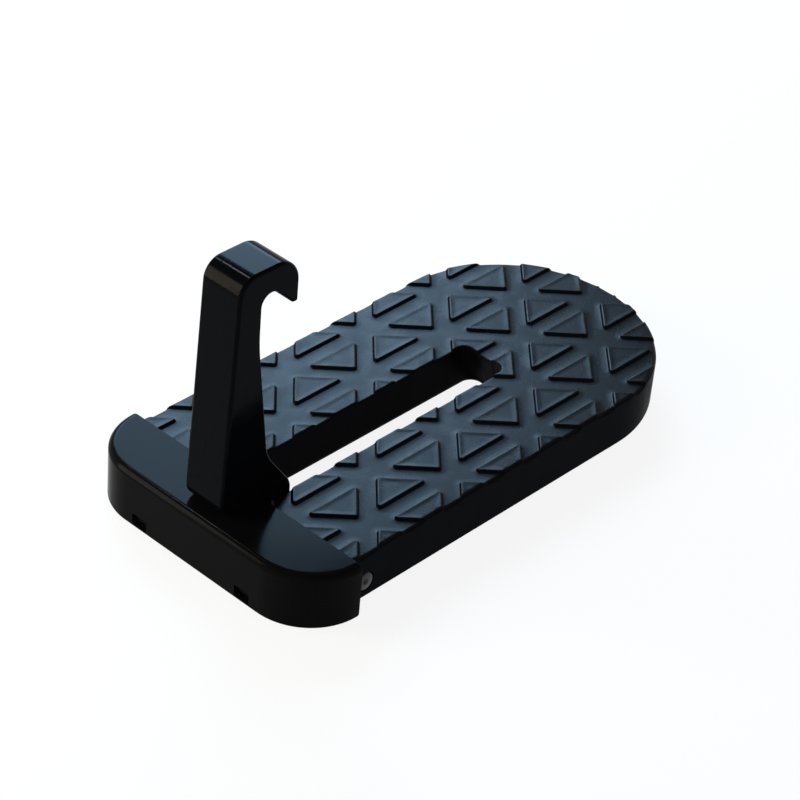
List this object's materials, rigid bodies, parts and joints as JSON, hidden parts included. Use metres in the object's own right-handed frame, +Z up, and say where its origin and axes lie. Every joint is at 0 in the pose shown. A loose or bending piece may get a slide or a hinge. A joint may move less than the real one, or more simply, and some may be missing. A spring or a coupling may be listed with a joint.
{
  "type": "car door latch step",
  "caption": "Folding step whose hook arm hangs on the striker bar of a car door, with a treaded pedal and a rubber bumper.",
  "frame": {"origin": "middle of the footprint, on the surface that the step rests on", "axes": "+X from the bumper to the round tip of the pedal, +Y across the pedal, +Z up along the raised hook arm"},
  "size_m": [0.1536, 0.0804, 0.082],
  "materials": {
    "pedal_paint": "satin black powder coat on cast aluminium",
    "arm_paint": "semi-gloss black powder coat on cast aluminium",
    "bumper_rubber": "smooth black moulded rubber with a soft gloss",
    "pin_steel": "bare steel dowel",
    "washer_nylon": "dark nylon"
  },
  "bodies": {
    "pedal_body": {"pedal": "pedal_paint", "bumper": "bumper_rubber", "pivot_pin": "pin_steel", "washer_left": "washer_nylon", "washer_right": "washer_nylon"},
    "arm_body": {"hook_arm": "arm_paint"}
  },
  "joints": [
    {"name": "arm_fold", "type": "hinge", "parent": "pedal_body", "child": "arm_body", "pos_m": [-0.05425, 0, 0.0061], "axis": [0, 1, 0], "range_deg": [0, 90]}
  ]
}
